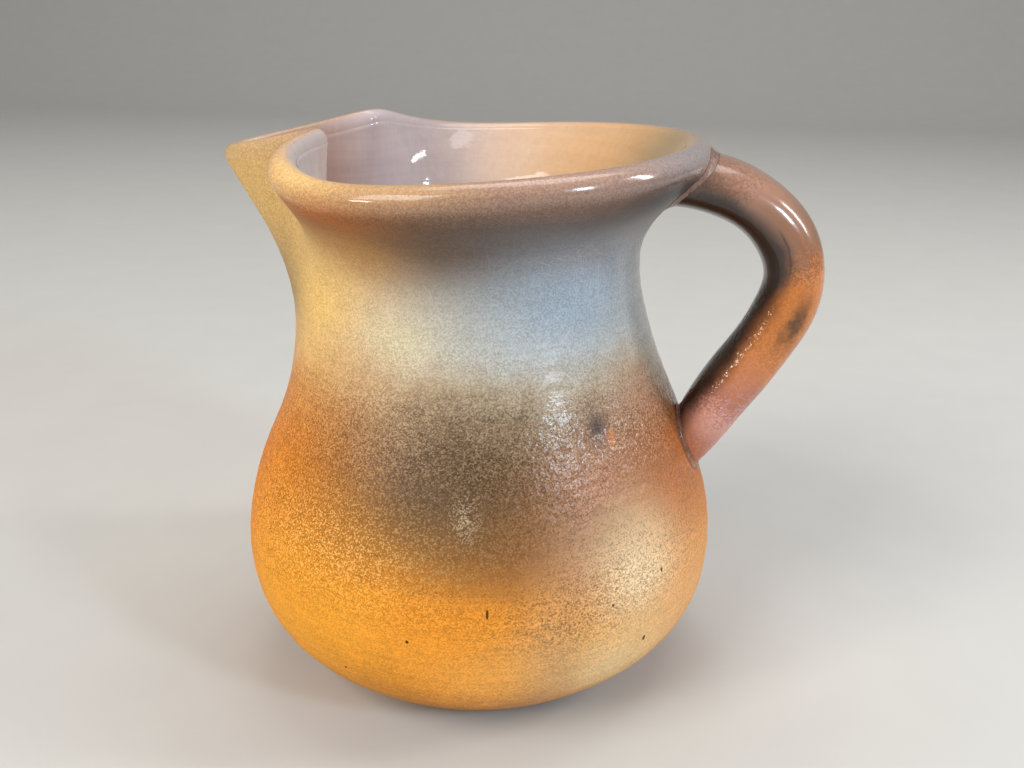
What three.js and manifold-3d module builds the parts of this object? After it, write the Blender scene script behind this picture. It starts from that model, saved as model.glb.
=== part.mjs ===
import * as THREE from 'three';
import { mergeVertices } from 'three/addons/utils/BufferGeometryUtils.js';
import Module from 'manifold-3d';

// A hand-thrown terracotta jug: a thrown body with a pinched and pulled spout, a pulled handle,
// the two beads of slip that lute the handle on, and the glaze that lines the inside.
// Millimetres and degrees, +Z up. The origin is the middle of the foot, with the handle at +X
// and the spout at -X.

// The thrown body, measured on its outer face. A height is above the foot, a drop below the rim,
// and a round is how far a curve keeps its direction past the point it is named for.
const FOOT_RADIUS = 44;
const FOOT_SLOPE = 35;
const FOOT_ROUND = 18;
const BELLY_RADIUS = 70.5;
const BELLY_HEIGHT = 40;
const BELLY_ROUND_BELOW = 21;
const BELLY_ROUND_ABOVE = 28;
const NECK_RADIUS = 46;
const NECK_DROP = 29;
const NECK_ROUND = 28;
const RIM_RADIUS = 60;
const RIM_HEIGHT = 154;
const RIM_RISE = 7.6;
const RIM_RISE_TURN = 14;
const LIP_THICKNESS = 8.4;
const WALL_THICKNESS = 5.6;
const FLOOR_THICKNESS = 8;
const FLOOR_RADIUS = 30;
const FLOOR_ROUND = 20;

// The spout, pulled out of the rim between two pinched folds. The neck swells below it.
const SPOUT_REACH = 75.6;
const SPOUT_LIP = 6;
const SPOUT_RISE = 1.4;
const SPOUT_NECK_RADIUS = 55;
const SPOUT_NECK_DROP = 51;
const SPOUT_NECK_SPREAD = 38;
const THROAT_WIDTH = 45;
const PINCH_DEPTH = 15;
const PINCH_RISE = 10.2;

// How far each form of the rim spreads, as a share of the angle from the spout to the fold.
// The fold on the -Y side is nipped in beside a round lobe, and the other one eases into the rim.
const TIP_SPREAD = 0.45;
const PINCH_SPREAD = 0.5;
const NIPPED_LOBE_SPREAD = 0.36;
const EASED_LOBE_SPREAD = 0.8;
const RISE_SPREAD = 0.7;
const EASED_RISE_SPREAD = 0.97;

// How much the wall bends on its way from the neck to the lip, and the pull of that bend's ends.
const FLARE_BEND = 0.5;
const FLARE_PULL = 0.37;

// The pulled handle. It stands out from the lip, and its back and root drop from the rim's top.
const HANDLE_STANDOUT = 32.1;
const HANDLE_BACK_DROP = 36.2;
const HANDLE_ROOT_DROP = 2.2;
const HANDLE_ROOT_DEPTH = 1.5;
const HANDLE_TAIL_HEIGHT = 61;
const HANDLE_TAIL_DEPTH = 6;
const SHOULDER_RUN = 9.4;
const SHOULDER_LIFT = 1;
const BACK_ROUND_ABOVE = 14;
const BACK_ROUND_BELOW = 18;
const ELBOW_RUN = 1.5;
const ELBOW_LIFT = 22;
const ROOT_THICKNESS = 15.4;
const ROOT_WIDTH = 27;
const GRIP_THICKNESS = 16.6;
const GRIP_WIDTH = 20;
const TAIL_THICKNESS = 16.4;
const TAIL_WIDTH = 21;
const TAIL_TONGUE = 30;

// The slip beads, the glaze and the clearance between pieces.
const SLIP_BEAD = 2;
const GLAZE_THICKNESS = 0.8;
const JOINT_GAP = 0.3;

// Shares of the handle's length: the grip, the tail, and where the two slip beads stop.
const GRIP_AT = 0.45;
const TAIL_AT = 0.9;
const UPPER_BEAD_TO = 0.3;
const LOWER_BEAD_FROM = 0.7;

// How finely the surfaces are faceted.
const SEGMENTS = 72;
const SPOUT_CROWDING = 0.65;
const OUTER_STEPS = 6;
const LIP_STEPS = 7;
const INNER_STEPS = 4;
const HANDLE_STEPS = 36;
const BEAD_STEPS = 10;
const HANDLE_SIDES = 16;
const TONGUE_END = 0.02;
const MERGE_DISTANCE = 1e-4;

const wasm = await Module();
wasm.setup();

const { degToRad, lerp, mapLinear, smoothstep } = THREE.MathUtils;
const UPRIGHT = Math.PI / 2;
const bell = (distance, spread) => Math.exp(-((distance / spread) ** 2));
const heading = (angle, length) => new THREE.Vector2(Math.cos(angle), Math.sin(angle)).multiplyScalar(length);
const above = (point, rise) => new THREE.Vector2(point.x, point.y + rise);
const onAxis = (height) => new THREE.Vector3(0, 0, height);

// A closed skin over a row of rings with equally many points, drawn to a point at both ends.
// Each four-sided patch is split along its shorter diagonal.
function skin(start, rings, end) {
  const around = rings[0].length;
  const points = [start, ...rings.flat(), end];
  const last = points.length - 1;
  const faces = [];
  for (let i = 0; i < around; i += 1) {
    const next = (i + 1) % around;
    faces.push(0, 1 + next, 1 + i);
    faces.push(last, last - around + i, last - around + next);
    for (let ring = 0; ring < rings.length - 1; ring += 1) {
      const low = 1 + ring * around;
      const high = low + around;
      const [a, b, c, d] = [low + i, low + next, high + next, high + i];
      const rising = points[a].distanceTo(points[c]) < points[b].distanceTo(points[d]);
      faces.push(...(rising ? [a, b, c, a, c, d] : [a, b, d, b, c, d]));
    }
  }
  const geometry = new THREE.BufferGeometry().setFromPoints(points);
  geometry.setIndex(faces);
  geometry.computeVertexNormals();
  return geometry;
}

function toSolid(geometry) {
  geometry.deleteAttribute('normal');
  const merged = mergeVertices(geometry, MERGE_DISTANCE);
  return new wasm.Manifold(new wasm.Mesh({
    numProp: 3,
    vertProperties: new Float32Array(merged.attributes.position.array),
    triVerts: new Uint32Array(merged.index.array),
  }));
}

function toGeometry(solid) {
  const { vertProperties, triVerts } = solid.getMesh();
  const geometry = new THREE.BufferGeometry();
  geometry.setAttribute('position', new THREE.BufferAttribute(vertProperties, 3));
  geometry.setIndex(new THREE.BufferAttribute(triVerts, 1));
  geometry.computeVertexNormals();
  return geometry;
}

// Where the lip runs, and where the neck is narrowest, at one angle from the spout.
function rimAt(turn) {
  const away = Math.abs(Math.atan2(Math.sin(turn), Math.cos(turn)));
  const fold = Math.asin(THROAT_WIDTH / 2 / (RIM_RADIUS - PINCH_DEPTH));
  const eased = Math.sin(turn) < 0 && away > fold;
  const lobeSpread = eased ? EASED_LOBE_SPREAD : NIPPED_LOBE_SPREAD;
  const spout = bell(away, TIP_SPREAD * fold);
  const pinch = bell(away - fold, fold * (away < fold ? PINCH_SPREAD : lobeSpread));
  const rise = bell(away - fold, fold * (eased ? EASED_RISE_SPREAD : RISE_SPREAD));
  const swell = bell(away, degToRad(SPOUT_NECK_SPREAD));
  const tilt = -0.5 * RIM_RISE * Math.cos(turn - degToRad(RIM_RISE_TURN));
  const top = RIM_HEIGHT + tilt + PINCH_RISE * rise + SPOUT_RISE * spout;
  const lip = lerp(LIP_THICKNESS, SPOUT_LIP, Math.max(spout, pinch));
  const pull = SPOUT_REACH - SPOUT_LIP / 2 - RIM_RADIUS;
  const neckRadius = lerp(NECK_RADIUS, SPOUT_NECK_RADIUS, swell);
  const neckDrop = lerp(NECK_DROP, SPOUT_NECK_DROP, swell);
  return {
    top,
    lip,
    centre: new THREE.Vector2(RIM_RADIUS + pull * spout - PINCH_DEPTH * pinch, top - lip / 2),
    neck: new THREE.Vector2(neckRadius, RIM_HEIGHT - neckDrop),
  };
}

// One slice of the thrown wall in three stretches: up the outside, over the lip, down the inside.
function slice(turn) {
  const { lip, centre, neck } = rimAt(turn);
  const rising = centre.clone().sub(neck);
  const flare = rising.angle() - FLARE_BEND * (UPRIGHT - rising.angle());
  const pull = FLARE_PULL * rising.length();
  const toLip = heading(flare, pull);
  const halfLip = heading(flare - UPRIGHT, lip / 2);

  const curve = (path, leave, arrive, end) => path.bezierCurveTo(...leave, ...arrive, ...end);
  const outer = new THREE.Path();
  const foot = new THREE.Vector2(FOOT_RADIUS, 0);
  const footRise = foot.clone().add(heading(degToRad(FOOT_SLOPE), FOOT_ROUND));
  const belly = new THREE.Vector2(BELLY_RADIUS, BELLY_HEIGHT);
  const under = centre.clone().add(halfLip);
  outer.moveTo(...foot);
  curve(outer, footRise, above(belly, -BELLY_ROUND_BELOW), belly);
  curve(outer, above(belly, BELLY_ROUND_ABOVE), above(neck, -NECK_ROUND), neck);
  curve(outer, above(neck, pull), under.clone().sub(toLip), under);

  const inner = new THREE.Path();
  const over = centre.clone().sub(halfLip);
  const neckInside = new THREE.Vector2(neck.x - WALL_THICKNESS, neck.y);
  const bellyInside = new THREE.Vector2(BELLY_RADIUS - WALL_THICKNESS, BELLY_HEIGHT);
  const floor = new THREE.Vector2(FLOOR_RADIUS, FLOOR_THICKNESS);
  const floorEdge = new THREE.Vector2(FLOOR_RADIUS + FLOOR_ROUND, FLOOR_THICKNESS);
  inner.moveTo(...over);
  curve(inner, over.clone().sub(toLip), above(neckInside, pull), neckInside);
  curve(inner, above(neckInside, -NECK_ROUND), above(bellyInside, BELLY_ROUND_ABOVE), bellyInside);
  curve(inner, above(bellyInside, -BELLY_ROUND_BELOW), floorEdge, floor);

  const roll = new THREE.EllipseCurve(...centre, lip / 2, lip / 2, flare - UPRIGHT, flare + UPRIGHT);
  return {
    outer: outer.getPoints(OUTER_STEPS),
    lip: roll.getPoints(LIP_STEPS).slice(1, -1),
    inner: inner.getPoints(INNER_STEPS),
  };
}

// Angles round the jug from the spout. They crowd together at the spout, where the lip turns most.
const turns = Array.from({ length: SEGMENTS }, (_, i) => {
  const even = (2 * Math.PI * i) / SEGMENTS;
  return even - SPOUT_CROWDING * Math.sin(even);
});
const slices = turns.map(slice);

// Rings of points round the jug along one stretch of its slices.
function spin(stretch) {
  return slices[0][stretch].map((_, row) => turns.map((turn, i) => {
    const { x, y } = slices[i][stretch][row];
    return new THREE.Vector3(-x * Math.cos(turn), -x * Math.sin(turn), y);
  }));
}

// Moves every point of a row of rings along the surface's own outward direction.
function swollen(rings, distance) {
  const around = rings[0].length;
  return rings.map((ring, row) => ring.map((point, i) => {
    const before = rings[Math.max(row - 1, 0)][i];
    const after = rings[Math.min(row + 1, rings.length - 1)][i];
    const sideways = ring[(i + 1) % around].clone().sub(ring[(i + around - 1) % around]);
    const outward = sideways.cross(after.clone().sub(before)).normalize();
    return point.clone().addScaledVector(outward, distance);
  }));
}

function thrownBody() {
  const rings = [...spin('outer'), ...spin('lip'), ...spin('inner')];
  return skin(onAxis(0), rings, onAxis(FLOOR_THICKNESS));
}

// The jug filled in and swollen by a clearance, which cuts the pieces that are luted to it.
// A steep lid, from the lip's crown to a point over the mouth, keeps them out of the mouth.
function envelope(clearance) {
  const crown = spin('lip').slice(0, Math.ceil(LIP_STEPS / 2));
  const rings = swollen([...spin('outer'), ...crown], clearance);
  return toSolid(skin(onAxis(-clearance), rings, onAxis(RIM_HEIGHT + 2 * RIM_RADIUS)));
}

// The glaze is a thin glass cup, a clearance away from the clay that it lines.
function linerGlaze() {
  const wall = spin('inner');
  const back = swollen(wall, JOINT_GAP).reverse();
  const face = swollen(wall, JOINT_GAP + GLAZE_THICKNESS);
  const floor = FLOOR_THICKNESS + JOINT_GAP;
  return skin(onAxis(floor), [...back, ...face], onAxis(floor + GLAZE_THICKNESS));
}

// The outer radius of the wall behind the handle.
function wallRadius(height) {
  const wall = slice(Math.PI).outer;
  const next = wall.findIndex((point) => point.y > height);
  const [low, high] = [wall[next - 1], wall[next]];
  return mapLinear(height, low.y, high.y, low.x, high.x);
}

// The handle's middle line: out of the rim, round the back, and down onto the belly.
function handleLine() {
  const rim = rimAt(Math.PI);
  const lipEdge = rim.centre.x + rim.lip / 2;
  const at = (x, z) => new THREE.Vector3(x, 0, z);
  const underside = rim.top - HANDLE_ROOT_DROP - ROOT_THICKNESS;
  const root = at(wallRadius(underside) - HANDLE_ROOT_DEPTH, underside + ROOT_THICKNESS / 2);
  const back = at(lipEdge + HANDLE_STANDOUT - GRIP_THICKNESS / 2, rim.top - HANDLE_BACK_DROP);
  const tail = at(wallRadius(HANDLE_TAIL_HEIGHT) - HANDLE_TAIL_DEPTH, HANDLE_TAIL_HEIGHT);
  const shoulder = at(lipEdge + SHOULDER_RUN, root.z + SHOULDER_LIFT);
  const elbow = at(tail.x + ELBOW_RUN, tail.z + ELBOW_LIFT);
  const line = new THREE.CurvePath();
  line.add(new THREE.CubicBezierCurve3(root, shoulder, at(back.x, back.z + BACK_ROUND_ABOVE), back));
  line.add(new THREE.CubicBezierCurve3(back, at(back.x, back.z - BACK_ROUND_BELOW), elbow, tail));
  return line;
}

// A size that changes smoothly along the handle, from its root to the grip and on to the tail.
function along(share, root, grip, tail) {
  return lerp(
    lerp(root, grip, smoothstep(share, 0, GRIP_AT)),
    tail,
    smoothstep(share, GRIP_AT, TAIL_AT),
  );
}

// A stretch of the handle with an oval section, swollen by a clearance. It ends in a tongue.
function handleStretch(from, to, steps, clearance) {
  const line = handleLine();
  const length = line.getLength();
  const sideways = new THREE.Vector3(0, 1, 0);
  const rings = Array.from({ length: steps + 1 }, (_, step) => {
    const share = lerp(from, to, step / steps);
    const middle = line.getPoint(share);
    const outward = line.getTangent(share).cross(sideways);
    const left = Math.min(Math.max((length * (1 - share)) / TAIL_TONGUE, TONGUE_END), 1);
    const tongue = Math.sqrt(1 - (1 - left) ** 2);
    const thick = (tongue * along(share, ROOT_THICKNESS, GRIP_THICKNESS, TAIL_THICKNESS)) / 2 + clearance;
    const wide = (tongue * along(share, ROOT_WIDTH, GRIP_WIDTH, TAIL_WIDTH)) / 2 + clearance;
    return Array.from({ length: HANDLE_SIDES }, (_side, side) => {
      const angle = (2 * Math.PI * side) / HANDLE_SIDES;
      return middle.clone()
        .addScaledVector(outward, thick * Math.cos(angle))
        .addScaledVector(sideways, -wide * Math.sin(angle));
    });
  });
  const end = line.getPoint(to).addScaledVector(line.getTangent(to), clearance);
  return toSolid(skin(line.getPoint(from), rings, end));
}

function pulledHandle() {
  return toGeometry(handleStretch(0, 1, HANDLE_STEPS, 0).subtract(envelope(JOINT_GAP)));
}

// A bead of slip pressed into the corner between the handle and the body.
function slipBead(from, to) {
  const corner = handleStretch(from, to, BEAD_STEPS, SLIP_BEAD).intersect(envelope(SLIP_BEAD));
  const handle = handleStretch(0, 1, HANDLE_STEPS, JOINT_GAP);
  return toGeometry(corner.subtract(handle).subtract(envelope(JOINT_GAP)));
}

const jug = new THREE.Group();

function add(name, geometry, color, roughness) {
  const mesh = new THREE.Mesh(geometry, new THREE.MeshStandardMaterial({ color, roughness, metalness: 0 }));
  mesh.name = name;
  jug.add(mesh);
}

add('thrown_body', thrownBody(), 0xb5713a, 0.55);
add('pulled_handle', pulledHandle(), 0x9a5a3c, 0.35);
add('upper_handle_lute', slipBead(0, UPPER_BEAD_TO), 0x7d6152, 0.4);
add('lower_handle_lute', slipBead(LOWER_BEAD_FROM, 1), 0x7d6152, 0.4);
add('liner_glaze', linerGlaze(), 0xa98a72, 0.15);

export default jug;
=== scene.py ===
import bpy
import numpy as np
from mathutils import Euler, Matrix, Vector
from mathutils.bvhtree import BVHTree


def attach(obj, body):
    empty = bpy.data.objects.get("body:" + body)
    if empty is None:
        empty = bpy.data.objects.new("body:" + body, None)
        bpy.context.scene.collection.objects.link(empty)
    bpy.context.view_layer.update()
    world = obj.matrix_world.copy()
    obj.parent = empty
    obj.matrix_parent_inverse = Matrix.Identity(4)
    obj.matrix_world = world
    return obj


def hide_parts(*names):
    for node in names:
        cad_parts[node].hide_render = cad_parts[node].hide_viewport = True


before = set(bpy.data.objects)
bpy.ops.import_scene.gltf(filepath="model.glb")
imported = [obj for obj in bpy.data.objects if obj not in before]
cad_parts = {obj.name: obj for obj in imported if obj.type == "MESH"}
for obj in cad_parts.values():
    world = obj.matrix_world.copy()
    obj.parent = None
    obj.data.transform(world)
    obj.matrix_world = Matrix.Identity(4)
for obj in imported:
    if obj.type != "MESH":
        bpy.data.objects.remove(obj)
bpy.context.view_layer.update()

# The thrown body is one lump of red clay, drawn up on the wheel into base, belly, neck and rim.
# The spout is pulled from the soft rim between two pinched folds. Sizes are in millimetres and
# degrees, and turns run round the jug from the spout, which points along -X.
MM = 0.001
FOOT_RADIUS = 44
FOOT_SLOPE = 35
FOOT_ROUND = 18
BELLY_RADIUS = 70.5
BELLY_HEIGHT = 40
BELLY_ROUND_BELOW = 21
BELLY_ROUND_ABOVE = 28
NECK_RADIUS = 46
NECK_DROP = 29
NECK_ROUND = 28
RIM_RADIUS = 60
RIM_HEIGHT = 154
RIM_RISE = 7.6
RIM_RISE_TURN = 14
LIP_THICKNESS = 8.4
WALL_THICKNESS = 5.6
FLOOR_THICKNESS = 8
FLOOR_RADIUS = 30
FLOOR_ROUND = 20
SPOUT_REACH = 75.6
SPOUT_LIP = 6
SPOUT_RISE = 1.4
SPOUT_NECK_RADIUS = 55
SPOUT_NECK_DROP = 51
SPOUT_NECK_SPREAD = 38
THROAT_WIDTH = 45
PINCH_DEPTH = 15
PINCH_RISE = 10.2
TIP_SPREAD = 0.45
PINCH_SPREAD = 0.5
NIPPED_LOBE_SPREAD = 0.36
EASED_LOBE_SPREAD = 0.8
RISE_SPREAD = 0.7
EASED_RISE_SPREAD = 0.97
FLARE_BEND = 0.5
FLARE_PULL = 0.37
BODY_SEGMENTS = 384
SPOUT_CROWDING = 0.5
OUTER_STEPS = (48, 80, 44)
LIP_STEPS = 18
INNER_STEPS = (40, 44, 24)

# Marks that the hands left: shallow throwing rings, wider finger swells and one dent.
RING_PITCH = 5.2
RING_DEPTH = 0.06
RING_WOBBLE = 2
SWELL_PITCH = 27
SWELL_DEPTH = 0.18
SWELL_WOBBLE = 1.4
MARKED_FROM = (3, 12)
MARKED_UNTIL = (126, 146)
DENT_BEARING = 35.3
DENT_HEIGHT = 88
DENT_RADIUS = 3.2
DENT_DEPTH = 0.7

# Bearings run round the jug from the side that shows most, towards the handle.
FRONT = -79


def facing(bearing):
    """The level direction of a bearing."""
    angle = np.radians(FRONT + bearing)
    return np.array([np.cos(angle), np.sin(angle)])


def bell(distance, spread):
    """1 at no distance, falling smoothly to nothing over about twice the spread."""
    return np.exp(-((distance / spread) ** 2))


def lerp(low, high, share):
    return low + (high - low) * share


def ramp(value, low, high):
    """Rises smoothly from 0 at low to 1 at high."""
    share = np.clip((value - low) / (high - low), 0, 1)
    return share * share * (3 - 2 * share)


def pair(x, y):
    """Points in a slice, from their radii and heights."""
    return np.stack(np.broadcast_arrays(x, y), axis=-1).astype(float)


def heading(angle, length):
    """Steps in a slice, from their angles and lengths."""
    return pair(np.cos(angle), np.sin(angle)) * np.expand_dims(length, -1)


def curve(start, leave, arrive, end, steps):
    """Points along a curve that leaves the start and arrives at the end by two pull points."""
    share = np.linspace(0, 1, steps + 1).reshape(-1, *[1] * np.ndim(start))
    rest = 1 - share
    ends = start * rest**3 + end * share**3
    return ends + 3 * leave * rest**2 * share + 3 * arrive * rest * share**2


def rim_at(turn):
    """The lip's top, thickness and centre, and the neck's waist, at angles round from the spout."""
    away = np.abs(np.arctan2(np.sin(turn), np.cos(turn)))
    fold = np.arcsin(THROAT_WIDTH / 2 / (RIM_RADIUS - PINCH_DEPTH))
    eased = (np.sin(turn) < 0) & (away > fold)
    lobe_spread = np.where(eased, EASED_LOBE_SPREAD, NIPPED_LOBE_SPREAD)
    spout = bell(away, TIP_SPREAD * fold)
    pinch = bell(away - fold, fold * np.where(away < fold, PINCH_SPREAD, lobe_spread))
    rise = bell(away - fold, fold * np.where(eased, EASED_RISE_SPREAD, RISE_SPREAD))
    swell = bell(away, np.radians(SPOUT_NECK_SPREAD))
    tilt = -0.5 * RIM_RISE * np.cos(turn - np.radians(RIM_RISE_TURN))
    top = RIM_HEIGHT + tilt + PINCH_RISE * rise + SPOUT_RISE * spout
    lip = lerp(LIP_THICKNESS, SPOUT_LIP, np.maximum(spout, pinch))
    pull = SPOUT_REACH - SPOUT_LIP / 2 - RIM_RADIUS
    centre = pair(RIM_RADIUS + pull * spout - PINCH_DEPTH * pinch, top - lip / 2)
    waist_radius = lerp(NECK_RADIUS, SPOUT_NECK_RADIUS, swell)
    waist_height = RIM_HEIGHT - lerp(NECK_DROP, SPOUT_NECK_DROP, swell)
    return top, lip, centre, pair(waist_radius, waist_height)


def wall_slices(turn):
    """Radius and height up the outside, over the lip and down the inside, at each angle."""
    _, lip, centre, neck = rim_at(turn)
    upright = np.pi / 2
    rising = centre - neck
    chord = np.arctan2(rising[:, 1], rising[:, 0])
    flare = chord - FLARE_BEND * (upright - chord)
    pull = FLARE_PULL * np.linalg.norm(rising, axis=1)
    to_lip = heading(flare, pull)
    half_lip = heading(flare - upright, lip / 2)
    still = np.zeros_like(turn)

    foot = pair(FOOT_RADIUS + still, 0)
    foot_rise = foot + heading(np.radians(FOOT_SLOPE), FOOT_ROUND)
    belly = pair(BELLY_RADIUS + still, BELLY_HEIGHT)
    under = centre + half_lip
    to_belly, to_neck, to_rim = OUTER_STEPS
    outer = np.concatenate([
        curve(foot, foot_rise, belly - [0, BELLY_ROUND_BELOW], belly, to_belly)[:-1],
        curve(belly, belly + [0, BELLY_ROUND_ABOVE], neck - [0, NECK_ROUND], neck, to_neck)[:-1],
        curve(neck, neck + pair(still, pull), under - to_lip, under, to_rim),
    ])

    sweep = np.linspace(-upright, upright, LIP_STEPS + 1)[1:-1, None]
    roll = centre + heading(flare + sweep, np.broadcast_to(lip / 2, (len(sweep), len(turn))))

    over = centre - half_lip
    neck_inside = neck - [WALL_THICKNESS, 0]
    belly_inside = belly - [WALL_THICKNESS, 0]
    floor = pair(FLOOR_RADIUS + still, FLOOR_THICKNESS)
    floor_edge = floor + [FLOOR_ROUND, 0]
    to_neck, to_belly, to_floor = INNER_STEPS
    inner = np.concatenate([
        curve(over, over - to_lip, neck_inside + pair(still, pull), neck_inside, to_neck)[:-1],
        curve(neck_inside, neck_inside - [0, NECK_ROUND], belly_inside + [0, BELLY_ROUND_ABOVE],
              belly_inside, to_belly)[:-1],
        curve(belly_inside, belly_inside - [0, BELLY_ROUND_BELOW], floor_edge, floor, to_floor),
    ])
    return outer, roll, inner


def spun(slices, turn):
    """The points of slices set round the jug, each at its own turn."""
    radius, height = slices[..., 0], slices[..., 1]
    return np.stack([-radius * np.cos(turn), -radius * np.sin(turn), height], axis=-1)


def loft(name, rows, caps=(), closed=False):
    """A mesh over rows that close on themselves, capped by two points or joined end to end."""
    count, around = rows.shape[:2]
    points = np.concatenate([rows.reshape(-1, 3), *[np.reshape(cap, (1, 3)) for cap in caps]])
    low = np.arange(count if closed else count - 1)[:, None] * around
    high = (low + around) % (count * around)
    side = np.arange(around)[None, :]
    beside = (side + 1) % around
    quads = np.stack([low + side, low + beside, high + beside, high + side], axis=-1)
    faces = quads.reshape(-1, 4).tolist()
    if len(caps):
        first, last = count * around, count * around + 1
        top = (count - 1) * around
        faces += [[first, (i + 1) % around, i] for i in range(around)]
        faces += [[last, top + i, top + (i + 1) % around] for i in range(around)]
    mesh = bpy.data.meshes.new(name)
    mesh.from_pydata((points * MM).tolist(), [], faces)
    mesh.shade_smooth()
    piece = bpy.data.objects.new(name, mesh)
    bpy.context.scene.collection.objects.link(piece)
    return piece


even = np.linspace(0, 2 * np.pi, BODY_SEGMENTS, endpoint=False)
turns = even - SPOUT_CROWDING * np.sin(even)
outer, roll, inner = wall_slices(turns)
height = outer[..., 1]
marked = ramp(height, *MARKED_FROM) * (1 - ramp(height, *MARKED_UNTIL))
ring = 0.5 + 0.5 * np.sin(2 * np.pi * height / RING_PITCH + RING_WOBBLE * np.sin(turns))
swell = 0.5 + 0.5 * np.sin(2 * np.pi * height / SWELL_PITCH + SWELL_WOBBLE * np.sin(turns + 1))
outer[..., 0] -= marked * (RING_DEPTH * ring + SWELL_DEPTH * swell)
outside = spun(outer, turns)
wall_at_dent = np.interp(DENT_HEIGHT, height[:, 0], outer[:, 0, 0])
dent = np.append(facing(DENT_BEARING) * wall_at_dent, DENT_HEIGHT)
sunk = DENT_DEPTH * bell(np.linalg.norm(outside - dent, axis=-1), DENT_RADIUS)
outside[..., :2] -= sunk[..., None] * facing(DENT_BEARING)
body_rows = np.concatenate([outside, spun(roll, turns), spun(inner, turns)])
body = loft("thrown_body_clay", body_rows, [(0, 0, 0), (0, 0, FLOOR_THICKNESS)])


def keep_value(piece, name, values):
    """Stores one number for each point of a piece, for its material to read."""
    layer = piece.data.attributes.new(name, "FLOAT", "POINT")
    layer.data.foreach_set("value", np.asarray(values, np.float32).ravel())


# The glaze inside was wiped off along the lip's crown, so the lip's inner half shows it too.
GLAZE_EDGE = np.radians(82)
GLAZE_FULL = np.radians(128)

# The lip was smoothed with wet fingers, so it came out of the fire glossier than the neck below it.
LIP_EDGE = np.radians(-60)
LIP_FULL = np.radians(0)

from_middle = roll - rim_at(turns)[2]
over_lip = np.arctan2(-from_middle[..., 0], from_middle[..., 1]) + np.pi / 2
for name, start, full in (("glazed", GLAZE_EDGE, GLAZE_FULL), ("lip", LIP_EDGE, LIP_FULL)):
    share = [np.zeros(outer.shape[:2]), ramp(over_lip, start, full), np.ones(inner.shape[:2])]
    keep_value(body, name, np.append(np.concatenate(share), [0, 1]))


class Wire:
    """One shader socket. Arithmetic on wires adds Math nodes, and node() adds any other node."""

    def __init__(self, socket):
        self.socket = socket

    def node(self, kind, settings, inputs, output=0):
        """Adds a node, sets it up, fills or links its sockets and gives back one output."""
        tree = self.socket.id_data
        made = tree.nodes.new("ShaderNode" + kind)
        for name, value in settings.items():
            if name == "stops":
                stops = made.color_ramp.elements
                while len(stops) < len(value):
                    stops.new(0)
                for stop, (place, colour) in zip(stops, value):
                    stop.position = place
                    stop.color = colour
            else:
                setattr(made, name, value)
        for name, value in inputs.items():
            if isinstance(value, Wire):
                tree.links.new(value.socket, made.inputs[name])
            else:
                made.inputs[name].default_value = value
        return Wire(made.outputs[output]) if made.outputs else None

    def math(self, operation, *values):
        return self.node("Math", {"operation": operation}, dict(enumerate(values)))

    def __add__(self, other):
        return self.math("ADD", self, other)

    __radd__ = __add__

    def __sub__(self, other):
        return self.math("SUBTRACT", self, other)

    def __rsub__(self, other):
        return self.math("SUBTRACT", other, self)

    def __mul__(self, other):
        return self.math("MULTIPLY", self, other)

    __rmul__ = __mul__

    def __truediv__(self, other):
        return self.math("DIVIDE", self, other)

    def exp(self):
        return self.math("EXPONENT", self)

    def steep(self, low, high):
        """Rises smoothly from 0 at low to 1 at high."""
        span = {"Value": self, "From Min": low, "From Max": high}
        return self.node("MapRange", {"interpolation_type": "SMOOTHSTEP"}, span)

    def stretched(self, x, y, z):
        """This place scaled along each axis, so that a small share draws a pattern out."""
        scale = {0: self, 1: (x, y, z)}
        return self.node("VectorMath", {"operation": "MULTIPLY"}, scale)

    def noise(self, size, detail=3, roughness=0.55, output="Fac"):
        """Noise whose lumps are about one size across, in millimetres."""
        look = {"Vector": self, "Scale": 1 / (size * MM), "Detail": detail, "Roughness": roughness}
        return self.node("TexNoise", {}, look, output)

    def warped(self, size, reach):
        """This place pushed about by noise, so that a line drawn on it wanders."""
        push = {0: self.noise(size, 2, output="Color"), 1: (reach * MM,) * 3, 2: self}
        return self.node("VectorMath", {"operation": "MULTIPLY_ADD"}, push)

    def grains(self, size):
        """A number from 0 to 1 for each grain of about one size, in millimetres."""
        cells = self.node("TexVoronoi", {}, {"Vector": self, "Scale": 1 / (size * MM)}, "Color")
        return cells.node("SeparateColor", {}, {0: cells}, "Red")

    def stored(self, name):
        """The number that keep_value stored on the mesh."""
        return self.node("Attribute", {"attribute_name": name}, {}, "Fac")

    def tint(self, below, above):
        """Colour that is below where this mask is 0 and above where it is 1."""
        return self.node("Mix", {"data_type": "RGBA"}, {0: self, 6: below, 7: above}, 2)

    def shade(self, amount):
        """This colour made darker or lighter by an amount round 1."""
        grey = self.node("CombineColor", {}, {0: amount, 1: amount, 2: amount})
        settings = {"data_type": "RGBA", "blend_type": "MULTIPLY"}
        return self.node("Mix", settings, {0: 1, 6: self, 7: grey}, 2)

    def bump(self):
        """The normal that this height in millimetres gives the surface."""
        return self.node("Bump", {}, {"Height": self, "Strength": 1, "Distance": MM})


def tone(red, green, blue):
    """A colour as a screen shows it, from 0 to 255, made linear."""
    return (*[((c / 255 + 0.055) / 1.055) ** 2.4 for c in (red, green, blue)], 1)


def begin(name):
    """A new material, and the wire of its place on the jug."""
    material = bpy.data.materials.new(name)
    material.use_nodes = True
    material.node_tree.nodes.clear()
    place = material.node_tree.nodes.new("ShaderNodeTexCoord")
    return material, Wire(place.outputs["Object"])


def surface(place, inputs):
    """Ends a material in one principled shader with these inputs."""
    shader = place.node("BsdfPrincipled", {}, inputs)
    place.node("OutputMaterial", {}, {"Surface": shader})


# Keeps a division by the distance from the axis safe on the axis itself.
AXIS_GUARD = 1e-8


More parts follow.
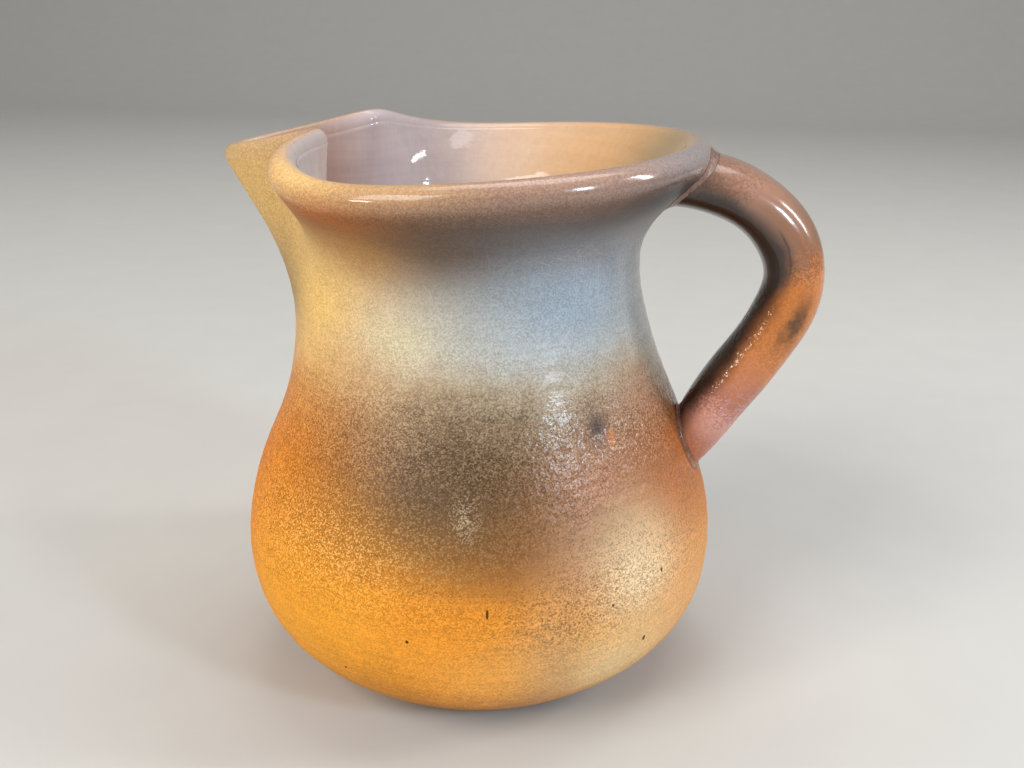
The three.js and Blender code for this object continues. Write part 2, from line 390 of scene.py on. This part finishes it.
def bearings(place):
    """Height in millimetres, and how far a point faces the front and the handle's side."""
    x, y, z = (place.node("SeparateXYZ", {}, {0: place}, axis) for axis in "XYZ")
    square = x * x + y * y
    reach = square.math("SQRT", square) + AXIS_GUARD
    front = (x * facing(0)[0] + y * facing(0)[1]) / reach
    side = (x * facing(90)[0] + y * facing(90)[1]) / reach
    return z / MM, front, side


def soft_patch(spot, bearing, height, half_width, half_height):
    """A soft patch round one bearing and height, as a flame or smoke leaves on clay, and as painted
    shade and a painted reflection lie on it.
    """
    rise, front, side = spot
    towards = front * np.cos(np.radians(bearing)) + side * np.sin(np.radians(bearing))
    across = (1 - towards) / (1 - np.cos(np.radians(half_width)))
    up = (rise - height) / half_height
    return (0 - across - up * up).exp()


# Inside, a clear glaze lies over clay that runs from lavender grey by the spout to tan and olive.
# Each patch gives a bearing and a height, half its width and half its height, its strength and
# its colour.
GLAZE_PATCHES = [
    (-140, 150, 46, 60, 0.95, tone(196, 184, 190)),
    (-163, 150, 16, 40, 0.6, tone(160, 145, 143)),
    (-112, 146, 11, 26, 0.85, tone(136, 96, 78)),
    (-62, 152, 34, 40, 0.95, tone(186, 174, 173)),
    (121, 150, 22, 40, 0.6, tone(212, 160, 104)),
    (98, 150, 22, 60, 0.85, tone(158, 138, 106)),
    (0, 90, 50, 60, 0.5, tone(170, 128, 96)),
    (-90, 70, 60, 30, 0.6, tone(150, 122, 108)),
    (165, 50, 70, 36, 0.6, tone(176, 120, 76)),
]


def glaze_colour(place):
    """The clay seen through the glaze, with fine streaks up the wall and level rings."""
    rise, front, side = bearings(place)
    drift = place.noise(26, 3)
    spot = (rise + (drift - 0.5) * 14, front, side)
    colour = drift.steep(0.3, 0.7).tint(tone(218, 174, 128), tone(222, 185, 146))
    for bearing, at, half_width, half_height, strength, patch in GLAZE_PATCHES:
        colour = (soft_patch(spot, bearing, at, half_width, half_height) * strength).tint(colour, patch)
    upright = place.stretched(1, 1, 0.06).noise(1.6, 3, 0.6)
    level = place.stretched(0.05, 0.05, 1).noise(2.2, 3, 0.6)
    return colour.shade(0.74 + 0.2 * upright + 0.2 * level + 0.12 * place.noise(1.2, 3, 0.65))


# The fire coloured the clay in bands from the foot up, then in patches of flame, ash and smoke.
# A dark band and some patches under the lip are painted shade, and a blue-grey patch on the neck is
# a painted reflection.
# A band gives a share of the band span and a colour. Patches are as inside, and so are the marks,
# which have sharper edges. A pit gives its bearing and height and half its width and height.
BANDS = [
    (0.0, tone(138, 88, 40)),
    (0.09, tone(188, 122, 48)),
    (0.15, tone(222, 145, 52)),
    (0.22, tone(243, 164, 60)),
    (0.3, tone(226, 142, 38)),
    (0.355, tone(186, 118, 44)),
    (0.4, tone(144, 99, 48)),
    (0.48, tone(106, 85, 60)),
    (0.56, tone(142, 124, 100)),
    (0.6, tone(178, 160, 132)),
    (0.665, tone(194, 190, 178)),
    (0.72, tone(188, 182, 166)),
    (0.78, tone(136, 124, 112)),
    # The stops at 0.825 and 0.865 make the dark band under the lip, which is painted shade.
    (0.825, tone(106, 92, 83)),
    (0.865, tone(100, 82, 70)),
    (0.9, tone(138, 106, 89)),
    (0.94, tone(182, 143, 122)),
]
BAND_SPAN = 165
PATCHES = [
    (-74, 66, 44, 44, 0.95, tone(218, 124, 0)),
    (-46, 34, 36, 28, 0.8, tone(238, 164, 38)),
    (-64, 118, 32, 21, 0.9, tone(240, 196, 110)),
    (-92, 142, 34, 22, 0.95, tone(214, 176, 112)),
    (-86, 119, 14, 12, 0.85, tone(150, 120, 66)),
    # This orange-brown patch under the lip at the left is partly the clay's flashing and partly
    # painted shade.
    (-37, 144.5, 17, 6.5, 0.95, tone(164, 82, 10)),
    (-42, 153, 19, 6, 0.95, tone(240, 194, 126)),
    (-14, 153, 14, 5, 0.6, tone(214, 168, 116)),
    # This blue-grey patch on the neck by the handle is a painted reflection, a cool sheen.
    (32, 121, 38, 16, 0.88, tone(157, 172, 187)),
    # This near-black patch under the rim beside the handle's root is painted shade.
    (54, 147, 20, 6, 1, tone(26, 18, 13)),
    (62, 157, 24, 5, 0.8, tone(150, 146, 150)),
    (64, 70, 28, 18, 0.9, tone(184, 103, 48)),
    (31, 78, 15, 12, 0.7, tone(186, 132, 106)),
    (-7, 77, 21, 16, 0.85, tone(94, 74, 54)),
    (13, 61, 13, 9, 0.8, tone(116, 78, 48)),
    (25, 61, 9, 9, 0.7, tone(150, 104, 82)),
    (40, 52, 15, 14, 0.95, tone(240, 214, 172)),
    (61, 38, 20, 20, 0.8, tone(228, 166, 106)),
    (-4, 40, 19, 15, 0.7, tone(236, 146, 36)),
    (-24, 110, 13, 7, 0.5, tone(226, 214, 170)),
    (-36, 133, 17, 8, 0.5, tone(196, 140, 72)),
    (54, 92, 13, 8, 0.5, tone(192, 148, 122)),
    # This dark brown patch under the lip at the front is painted shade.
    (-8, 135, 14, 6, 0.5, tone(98, 74, 54)),
    (40, 134, 18, 5, 0.6, tone(146, 142, 143)),
    (32, 27, 21, 12, 0.8, tone(236, 206, 154)),
    (17, 34, 7, 18, 0.7, tone(206, 158, 106)),
    (3, 25, 11, 9, 0.6, tone(255, 178, 76)),
    (130, 62, 46, 44, 0.9, tone(186, 100, 40)),
    (178, 112, 42, 24, 0.8, tone(206, 168, 112)),
    (-150, 50, 42, 34, 0.9, tone(222, 142, 44)),
    (-172, 84, 32, 18, 0.8, tone(108, 84, 62)),
    (112, 120, 34, 20, 0.7, tone(150, 138, 132)),
]
MARKS = [
    (35, 88.5, 3.2, 3.8, 0.8, tone(66, 64, 66)),
    (38.6, 85.5, 1.3, 1.9, 0.5, tone(224, 134, 68)),
]
PITS = [
    (2.9, 48, 0.24, 1.2),
    (-13.9, 39, 0.32, 0.45),
    (41.1, 30, 0.4, 0.75),
    (45.7, 49, 0.28, 0.6),
    (30.8, 45, 0.26, 0.4),
    (-31, 24, 0.3, 0.4),
    (-120, 44, 0.4, 0.5),
    (150, 62, 0.3, 0.6),
    (95, 34, 0.3, 0.7),
]
SCORCH = (22, 45, 21, 13)
GOLD_GLINT_ZONE = (-36, 59, 30, 13)
SCUFF = (-2, 71, 2.6, 4.5)
GRAIN = 0.34
SCORCH_GRAIN = 0.36
CRACKLE_CELL = 9

# Heights between which the skin changes: sandy and pebbled at the belly, glossy and crackled above.
SANDY_FROM = (36, 58)
SANDY_UNTIL = (76, 104)
PEELED_FROM = (54, 72)
PEELED_UNTIL = (84, 100)
GLOSSY_FROM = (56, 84)
CRACKLED_FROM = (92, 104)
CRACKLED_UNTIL = (128, 140)
STREAKS_EASE = (96, 116)
BANDS_STEADY = (106, 134)
UNDER_LIP_FROM = (126, 138)

body_look, place = begin("fire_flashed_clay")
rise, front, side = bearings(place)

# Drift, grain and level streaks break up the edges of every colour.
drift = place.noise(38, 3)
ragged = place.noise(7, 4, 0.65)
grain = place.grains(GRAIN)
fine = place.noise(0.35, 1)
pebbles = place.noise(0.8, 2, 0.6)
peel = place.noise(2.4, 2, 0.5)
streak = place.stretched(0.04, 0.04, 1).noise(1.1, 3, 0.6)
sandy = rise.steep(*SANDY_FROM) * (1 - rise.steep(*SANDY_UNTIL))
by_handle = side.steep(-0.25, 0.3)
peeled = rise.steep(*PEELED_FROM) * (1 - rise.steep(*PEELED_UNTIL)) * (0.2 + 0.8 * by_handle)
glossy = rise.steep(*GLOSSY_FROM)
lip = place.stored("lip")
under = rise.steep(*UNDER_LIP_FROM) * (1 - lip)
wander = ((drift - 0.5) * 18 + (ragged - 0.5) * 6) * (1 - 0.8 * rise.steep(*BANDS_STEADY))
spot = (rise + wander + (grain - 0.5) * (2 + sandy * 13 - lip * 1.6), front, side)
colour = place.node("ValToRGB", {"stops": BANDS}, {"Fac": spot[0] / BAND_SPAN})
for bearing, at, half_width, half_height, strength, patch in PATCHES:
    colour = (soft_patch(spot, bearing, at, half_width, half_height) * strength).tint(colour, patch)

# Marks, scorched grains, pale gold grains that are partly painted glints, and a scuff lie over the
# patches.
here = (rise, front, side)
for bearing, at, half_width, half_height, strength, patch in MARKS:
    colour = (soft_patch(here, bearing, at, half_width, half_height) * strength).tint(colour, patch)
scorched = place.grains(SCORCH_GRAIN).steep(0.66, 0.78) * soft_patch(here, *SCORCH)
colour = (scorched * 0.6).tint(colour, tone(84, 54, 32))
# Pale gold grains over the left belly are partly the clay's grains and partly painted glints.
gold_grains_and_glints = grain.steep(0.66, 0.8) * soft_patch(here, *GOLD_GLINT_ZONE)
colour = (gold_grains_and_glints * 0.36).tint(colour, tone(250, 204, 122))
scuffed = grain.steep(0.45, 0.8) * soft_patch(here, *SCUFF)
colour = (scuffed * 0.26).tint(colour, tone(232, 216, 188))
mottled = (grain - 0.5) * (0.42 + sandy * 0.66) + (ragged - 0.5) * 0.3 * (1 - lip)
colour = colour.shade(1 + mottled + (streak - 0.5) * (0.36 - 0.2 * rise.steep(*STREAKS_EASE)))

# Fine crackle lines run up the neck, and pits are scattered over the belly.
hairs = place.warped(16, 7).stretched(1, 1, 0.1)
cells = {"Vector": hairs, "Scale": 1 / (CRACKLE_CELL * MM)}
crackle = hairs.node("TexVoronoi", {"feature": "DISTANCE_TO_EDGE"}, cells)
craze = (1 - crackle.steep(0.002, 0.011)) * place.noise(16, 2).steep(0.44, 0.58)
craze = craze * rise.steep(*CRACKLED_FROM) * (1 - rise.steep(*CRACKLED_UNTIL))
colour = (craze * 0.2).tint(colour, tone(236, 224, 210))
pitted = 0
for bearing, at, half_width, half_height in PITS:
    pitted = pitted + soft_patch(here, bearing, at, half_width, half_height)
pitted = pitted.steep(0.2, 0.5)
colour = (pitted * 0.92).tint(colour, tone(44, 27, 18))

# The lip is the smoothest, the side by the handle is glossy and the belly is dry and rough.
glazed = place.stored("glazed")
colour = glazed.tint(colour, glaze_colour(place))
dry = 0.6 - 0.08 * by_handle - glossy * (0.14 + 0.18 * by_handle)
dry = dry + under * 0.18 + (fine - 0.5) * 0.14
relief = pebbles * (0.02 + sandy * 0.06) + peel * (0.04 + peeled * 0.5)
relief = relief + streak * 0.05 - pitted * 0.4
surface(place, {
    "Base Color": colour,
    "Roughness": dry * (1 - glazed) + glazed * 0.1,
    "Normal": (relief * (1 - 0.8 * glazed)).bump(),
    "Coat Weight": lip * (1 - glazed) * 0.7,
    "Coat Roughness": 0.08,
    "Specular IOR Level": 0.28,
    "IOR": 1.5,
})
body.data.materials.append(body_look)
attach(body, "root")
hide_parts("thrown_body")

# The handle is a tapered strap of the same clay, pulled by hand, bent into a loop while soft and
# pressed onto the rim and the belly. Its inner face is painted dark as shade.
HANDLE_STANDOUT = 32.1
HANDLE_BACK_DROP = 36.2
HANDLE_ROOT_DROP = 2.2
HANDLE_TAIL_HEIGHT = 61
HANDLE_TAIL_DEPTH = 6
HANDLE_ROOT_DEPTH = 1.5
SHOULDER_RUN = 9.4
SHOULDER_LIFT = 1
BACK_ROUND_ABOVE = 14
BACK_ROUND_BELOW = 18
ELBOW_RUN = 1.5
ELBOW_LIFT = 22
ROOT_THICKNESS = 15.4
ROOT_WIDTH = 27
GRIP_THICKNESS = 16.6
GRIP_WIDTH = 20
TAIL_THICKNESS = 16.4
TAIL_WIDTH = 21
GRIP_AT = 0.45
TAIL_AT = 0.9
TAIL_TONGUE = 30
TONGUE_END = 0.02
SQUARENESS = 2.3
PRESS_DEPTH = 0.012
PRESS_WAVES = 34
PRESS_LEAN = 0.8
LINE_STEPS = 200
HANDLE_STEPS = 150
HANDLE_SIDES = 72
ROOT_SEARCH = 0.32
TAIL_SEARCH = 0.62
SEARCH_STEPS = 60
SEARCH_HALVINGS = 14

rim_top, rim_lip, rim_centre, _ = (value[0] for value in rim_at(np.array([np.pi])))
behind = wall_slices(np.array([np.pi]))[0][:, 0]
underside = rim_top - HANDLE_ROOT_DROP - ROOT_THICKNESS
wall_at_root, wall_at_tail = np.interp([underside, HANDLE_TAIL_HEIGHT], behind[:, 1], behind[:, 0])
root = np.array([wall_at_root - HANDLE_ROOT_DEPTH, underside + ROOT_THICKNESS / 2])
lip_edge = rim_centre[0] + rim_lip / 2
back = np.array([lip_edge + HANDLE_STANDOUT - GRIP_THICKNESS / 2, rim_top - HANDLE_BACK_DROP])
tail = np.array([wall_at_tail - HANDLE_TAIL_DEPTH, HANDLE_TAIL_HEIGHT])
shoulder = np.array([lip_edge + SHOULDER_RUN, root[1] + SHOULDER_LIFT])
elbow = tail + [ELBOW_RUN, ELBOW_LIFT]
line = np.concatenate([
    curve(root, shoulder, back + [0, BACK_ROUND_ABOVE], back, LINE_STEPS)[:-1],
    curve(back, back - [0, BACK_ROUND_BELOW], elbow, tail, LINE_STEPS),
])
run = np.append(0, np.cumsum(np.linalg.norm(np.diff(line, axis=0), axis=1)))
heads = np.gradient(line, run, axis=0)
angles = np.linspace(0, 2 * np.pi, HANDLE_SIDES, endpoint=False)


def handle_points(share, angle):
    """Points on the handle's skin at shares of its length and angles round its section."""
    at = share * run[-1]
    middle = np.stack([np.interp(at, run, line[:, axis]) for axis in (0, 1)], axis=-1)
    head = np.stack([np.interp(at, run, heads[:, axis]) for axis in (0, 1)], axis=-1)
    head /= np.linalg.norm(head, axis=-1, keepdims=True)
    to_grip, to_tail = ramp(share, 0, GRIP_AT), ramp(share, GRIP_AT, TAIL_AT)
    thick = lerp(lerp(ROOT_THICKNESS, GRIP_THICKNESS, to_grip), TAIL_THICKNESS, to_tail) / 2
    wide = lerp(lerp(ROOT_WIDTH, GRIP_WIDTH, to_grip), TAIL_WIDTH, to_tail) / 2
    left = np.clip((run[-1] - at) / TAIL_TONGUE, TONGUE_END, 1)
    tongue = np.sqrt(1 - (1 - left) ** 2)
    inner, across = np.cos(angle), np.sin(angle)
    corner = (np.abs(inner) ** SQUARENESS + np.abs(across) ** SQUARENESS) ** (-1 / SQUARENESS)
    pressed = 1 - PRESS_DEPTH * (1 + np.sin(share * PRESS_WAVES + PRESS_LEAN * across))
    into_loop = thick * tongue * corner * pressed * inner
    return np.stack([
        middle[..., 0] + head[..., 1] * into_loop,
        -wide * tongue * corner * across,
        middle[..., 1] - head[..., 0] * into_loop,
    ], axis=-1)


wall_points = [tuple(point) for point in body_rows.reshape(-1, 3)]
body_faces = [tuple(face.vertices) for face in body.data.polygons]
wall_faces = [corners for corners in body_faces if max(corners) < len(wall_points)]
wall_tree = BVHTree.FromPolygons(wall_points, wall_faces)


def depth_in_wall(point):
    """How far a point lies inside the clay of the wall."""
    near, normal, _, _ = wall_tree.find_nearest(Vector(point))
    return (near - Vector(point)).dot(normal)


def meets_wall(angle, start, stop):
    """The share of the handle's length at which one line along its skin goes into the wall."""
    shares = np.linspace(start, stop, SEARCH_STEPS)
    for before, after in zip(shares[:-1], shares[1:]):
        if depth_in_wall(handle_points(np.array(after), np.array(angle))) > 0:
            for _ in range(SEARCH_HALVINGS):
                half = (before + after) / 2
                if depth_in_wall(handle_points(np.array(half), np.array(angle))) > 0:
                    after = half
                else:
                    before = half
            return before
    return stop


from_share = np.array([meets_wall(angle, ROOT_SEARCH, 0) for angle in angles])
to_share = np.array([meets_wall(angle, TAIL_SEARCH, 1) for angle in angles])
steps = np.linspace(0, 1, HANDLE_STEPS + 1)[:, None]
shares = lerp(from_share, to_share, steps)
handle_rows = handle_points(shares, np.broadcast_to(angles, shares.shape))
ends = [handle_rows[-1].mean(0), handle_rows[0].mean(0)]
handle = loft("pulled_handle_clay", handle_rows[::-1], ends)
keep_value(handle, "along", np.append(shares[::-1], [1, 0]))
keep_value(handle, "outward", np.append(np.broadcast_to(-np.cos(angles), shares.shape), [0, 0]))

# From root to tail the fire left rosy brown, then orange brown, then violet pink. Places along the
# handle are shares of its length, and places across it run from -1 inside to 1 outside.
HANDLE_BANDS = [
    (0.0, tone(126, 90, 74)),
    (0.08, tone(140, 102, 83)),
    (0.2, tone(172, 126, 103)),
    (0.3, tone(150, 108, 86)),
    (0.36, tone(150, 98, 64)),
    (0.42, tone(206, 120, 50)),
    (0.55, tone(197, 120, 58)),
    (0.65, tone(210, 130, 76)),
    (0.74, tone(182, 118, 98)),
    (0.83, tone(220, 160, 140)),
    (0.93, tone(188, 115, 78)),
]
SMUDGE_AT = 0.51
SMUDGE_OUT = 0.36
SMUDGE_LENGTH = 0.06
SMUDGE_WIDTH = 0.24
CREASE_FROM = (0.27, 0.32)
CREASE_UNTIL = (0.38, 0.43)
CREASE_OUT = 0.12
CREASE_TURN = 2.6
CREASE_WIDTH = 0.035
VIOLET_FROM = (0.64, 0.72)
VIOLET_UNTIL = (0.84, 0.92)
PEBBLED_FROM = (0.36, 0.48)

handle_look, place = begin("handle_clay")
along = place.stored("along")
outward = place.stored("outward")
near = (0 - place.node("SeparateXYZ", {}, {0: place}, "Y") / MM).steep(-1, 3)
drift = place.noise(14, 3)
ragged = place.noise(4, 3, 0.65)
grain = place.grains(0.45)
spread = along + (drift - 0.5) * 0.16 + (grain - 0.5) * 0.07
colour = place.node("ValToRGB", {"stops": HANDLE_BANDS}, {"Fac": spread})

# Painted shade darkens the inner face. A smudge, a crease whose dark line is painted shade, and
# violet grains that are painted glints mark the rest.
# The inner face, turned to the body, is painted near black as shade, over more of its width near the
# root.
edge = -0.1 - 0.5 * along.steep(0.3, 0.6)
inner_face_shade = 1 - (outward - edge + (drift - 0.5) * 0.5).steep(-0.3, 0.4)
colour = (inner_face_shade * 0.97).tint(colour, tone(26, 14, 9))
down = (along - SMUDGE_AT) / SMUDGE_LENGTH
over = (outward - SMUDGE_OUT + (ragged - 0.5) * 0.9) / SMUDGE_WIDTH
smudge = (0 - down * down - over * over).exp() * near
colour = (smudge * 0.88).tint(colour, tone(78, 54, 36))
swerve = CREASE_OUT - (along - CREASE_FROM[0]) * CREASE_TURN
beside = (outward - swerve + (drift - 0.5) * 0.3) / CREASE_WIDTH
creased = along.steep(*CREASE_FROM) * (1 - along.steep(*CREASE_UNTIL))
crease = (0 - beside * beside).exp() * creased * near
# The crease's dark line is painted shade along a facet edge, and its groove is in the relief below.
colour = (crease * 0.7).tint(colour, tone(58, 38, 28))
# Violet grains on the outer face are painted glints of reflected light.
violet_glints = along.steep(*VIOLET_FROM) * (1 - along.steep(*VIOLET_UNTIL)) * outward.steep(-0.5, 0.1)
violet_glints = violet_glints * place.grains(0.6).steep(0.66, 0.74)
colour = (violet_glints * 0.3).tint(colour, tone(188, 150, 178))
colour = colour.shade(1 + (grain - 0.5) * 0.26 + (ragged - 0.5) * 0.16)

# The root is smooth and glossy, and the lower half is pebbled.
pebbled = along.steep(*PEBBLED_FROM)
relief = place.noise(1.5, 2, 0.5) * (0.05 + 0.2 * pebbled) - crease * 0.2
surface(place, {
    "Base Color": colour,
    "Roughness": 0.24 - 0.12 * pebbled + (ragged - 0.5) * 0.12,
    "Normal": relief.bump(),
    "Coat Weight": 0.6 - 0.6 * pebbled,
    "Coat Roughness": 0.06,
    "IOR": 1.5,
})
handle.data.materials.append(handle_look)
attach(handle, "root")
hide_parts("pulled_handle")

# The two luting beads are liquid clay, wiped round the handle's ends before firing. Each fills the
# corner between the handle and the wall, and thins out over both.
BEAD_REACH = 1.6
BEAD_LIFT = 0.12
BEAD_CROWN = 0.48
BEAD_SINK = 0.25
BEAD_STEPS = 8


def luting_bead(name, shares, back_along):
    """A closed ring of slip round one end of the handle, where its skin meets the wall."""
    sections = []
    for angle, share in zip(angles, shares):
        meet = handle_points(np.array(share), np.array(angle))
        clear = share + back_along * BEAD_REACH / run[-1]
        on_handle = handle_points(np.array(clear), np.array(angle))
        middle = handle_points(np.full(HANDLE_SIDES, share), angles).mean(0)
        _, wall_normal, _, _ = wall_tree.find_nearest(Vector(meet))
        away = Vector(meet - middle)
        away -= wall_normal * away.dot(wall_normal)
        away.normalize()
        on_wall, _, _, _ = wall_tree.find_nearest(Vector(meet) + away * BEAD_REACH)
        rising = Vector(on_handle - meet).normalized()
        lift = (away + rising).normalized()
        start = Vector(on_handle) + away * BEAD_LIFT
        crown = Vector(meet) + lift * BEAD_CROWN
        end = on_wall + rising * BEAD_LIFT
        ring = []
        for over in np.linspace(0, 1, BEAD_STEPS):
            rest = 1 - over
            ring.append(start * rest**2 + crown * 2 * rest * over + end * over**2)
        ring.append(Vector(meet) - lift * BEAD_SINK)
        sections.append([tuple(point) for point in ring])
    rows = np.array(sections)
    # The root's ring is taken the other way round, so that its faces point out too.
    if back_along > 0:
        rows = rows[::-1]
    return loft(name, rows, closed=True)


upper_bead = luting_bead("upper_luting_bead", from_share, 1)
lower_bead = luting_bead("lower_luting_bead", to_share, -1)

slip_look, place = begin("luting_slip")
rise = place.node("SeparateXYZ", {}, {0: place}, "Z") / MM
grit = place.noise(0.8, 2, 0.6).steep(0.3, 0.7)
smeared = place.noise(5, 3).steep(0.35, 0.65)
by_belly = smeared.tint(tone(120, 76, 54), tone(168, 108, 78))
by_rim = smeared.tint(tone(118, 92, 81), tone(156, 123, 108))
colour = rise.steep(100, 125).tint(by_belly, by_rim)
surface(place, {
    "Base Color": colour.shade(0.88 + 0.24 * grit),
    "Roughness": 0.3 + (grit - 0.5) * 0.16,
    "Normal": (grit * 0.05 + smeared * 0.12).bump(),
    "IOR": 1.5,
})
for bead, node in ((upper_bead, "upper_handle_lute"), (lower_bead, "lower_handle_lute")):
    bead.data.materials.append(slip_look)
    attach(bead, "root")
    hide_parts(node)

# The liner is a clear glaze, poured in, swilled round and poured out, then melted to glass. It
# thins to nothing at the lip, where it was wiped.
GLAZE_GAP = 0.1
GLAZE_THICKNESS = 0.7
GLAZE_TAPER = 12
EDGE_SHARE = 0.03

inside = spun(inner, turns)
across_rows = np.gradient(inside, axis=0)
round_rows = np.roll(inside, -1, axis=1) - np.roll(inside, 1, axis=1)
inward = np.cross(round_rows, across_rows)
inward /= np.linalg.norm(inward, axis=-1, keepdims=True)
run_down = np.cumsum(np.linalg.norm(across_rows, axis=-1), axis=0)
glaze = GLAZE_GAP + GLAZE_THICKNESS * ramp(run_down, 0, GLAZE_TAPER)
glaze_back = inside + inward * GLAZE_GAP / 2
glaze_face = inside + inward * glaze[..., None]
edge_row = lerp(glaze_face[:1], glaze_face[1:2], EDGE_SHARE)
liner_rows = np.concatenate([glaze_back[::-1], edge_row, glaze_face[1:]])
floor_back = (0, 0, FLOOR_THICKNESS + GLAZE_GAP / 2)
floor_face = (0, 0, FLOOR_THICKNESS + GLAZE_GAP + GLAZE_THICKNESS)
liner = loft("liner_glass", liner_rows, [floor_back, floor_face])

liner_look, place = begin("liner_glaze")
level = place.stretched(0.05, 0.05, 1).noise(2.6, 3, 0.6)
pooled = place.noise(6, 2)
surface(place, {
    "Base Color": glaze_colour(place),
    "Roughness": 0.07 + (pooled - 0.4) * 0.08,
    "Normal": (level * 0.05 + pooled * 0.12).bump(),
    "IOR": 1.52,
})
liner.data.materials.append(liner_look)
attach(liner, "root")
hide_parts("liner_glaze")

# The studio is a sweep of pale paper that curves up from the floor into a backdrop. A broad key lamp
# and a low warm one light the left, a cool window and a narrow lamp the right, and a wide lamp and a
# dim sky fill in from above. Sizes are in metres.
SWEEP_WIDTH = 6
SWEEP_FRONT = -2.5
SWEEP_BACK = 1.6
SWEEP_ROUND = 0.9
SWEEP_TOP = 4
SWEEP_STEPS = 24

bend = np.linspace(0, np.pi / 2, SWEEP_STEPS)
track = [(SWEEP_FRONT, 0)]
track += [(SWEEP_BACK + SWEEP_ROUND * np.sin(a), SWEEP_ROUND * (1 - np.cos(a))) for a in bend]
track.append((SWEEP_BACK + SWEEP_ROUND, SWEEP_TOP))
edges = [(x, y, z) for x in (-SWEEP_WIDTH / 2, SWEEP_WIDTH / 2) for y, z in track]
strip = [(i, i + len(track), i + len(track) + 1, i + 1) for i in range(len(track) - 1)]
sweep_mesh = bpy.data.meshes.new("sweep")
sweep_mesh.from_pydata(edges, [], strip)
sweep_mesh.shade_smooth()
sweep = bpy.data.objects.new("sweep", sweep_mesh)
bpy.context.scene.collection.objects.link(sweep)
sweep_look, place = begin("pale_paper")
paper = place.noise(30, 2).tint(tone(200, 198, 194), tone(206, 204, 200))
surface(place, {"Base Color": paper, "Roughness": 0.9})
sweep_mesh.materials.append(sweep_look)

# Each lamp gives its place, width, depth, power in watts and colour.
LAMPS = [
    ("key_lamp", (-0.85, -1.15, 1.3), 1.0, 0.9, 18.5, (1, 0.98, 0.95)),
    ("window_lamp", (0.97, -0.56, 0.58), 0.16, 0.22, 5.2, (0.66, 0.84, 1)),
    ("side_lamp", (0.98, 0.1, 0.6), 0.12, 0.4, 3.4, (1, 0.97, 0.93)),
    ("low_lamp", (-0.79, -0.81, 0.44), 0.2, 0.12, 2.2, (1, 0.88, 0.68)),
    ("top_lamp", (0.1, 0.35, 1.5), 1.2, 0.8, 8.5, (1, 0.99, 0.97)),
]
AIM = Vector((0, 0, 0.08))
SKY_STRENGTH = 0.33
for name, at, width, depth, power, colour in LAMPS:
    lamp = bpy.data.lights.new(name, "AREA")
    lamp.shape = "RECTANGLE"
    lamp.size = width
    lamp.size_y = depth
    lamp.energy = power
    lamp.color = colour
    holder = bpy.data.objects.new(name, lamp)
    holder.location = at
    holder.rotation_euler = (AIM - Vector(at)).to_track_quat("-Z", "Y").to_euler()
    bpy.context.scene.collection.objects.link(holder)

world = bpy.data.worlds.new("studio_sky")
world.use_nodes = True
sky = world.node_tree.nodes["Background"]
sky.inputs["Color"].default_value = (1, 1, 1, 1)
sky.inputs["Strength"].default_value = SKY_STRENGTH
bpy.context.scene.world = world

# The camera stands a forearm's length in front of the jug and a little above it, and looks down.
CAMERA_AT = Vector((64.66, -288.04, 190.79)) * MM
CAMERA_TILT = 70.132
CAMERA_ROLL = -0.362
CAMERA_TURN = 10.927
LENS = 36.647
SENSOR = 36

camera = bpy.data.cameras.new("camera")
camera.lens = LENS
camera.sensor_width = SENSOR
camera.sensor_fit = "HORIZONTAL"
camera.clip_start = 0.01
stand = bpy.data.objects.new("camera", camera)
turned = Euler(np.radians((CAMERA_TILT, CAMERA_ROLL, CAMERA_TURN)))
stand.matrix_world = Matrix.LocRotScale(CAMERA_AT, turned, None)
bpy.context.scene.collection.objects.link(stand)
bpy.context.scene.camera = stand
bpy.context.scene.view_settings.view_transform = "Standard"
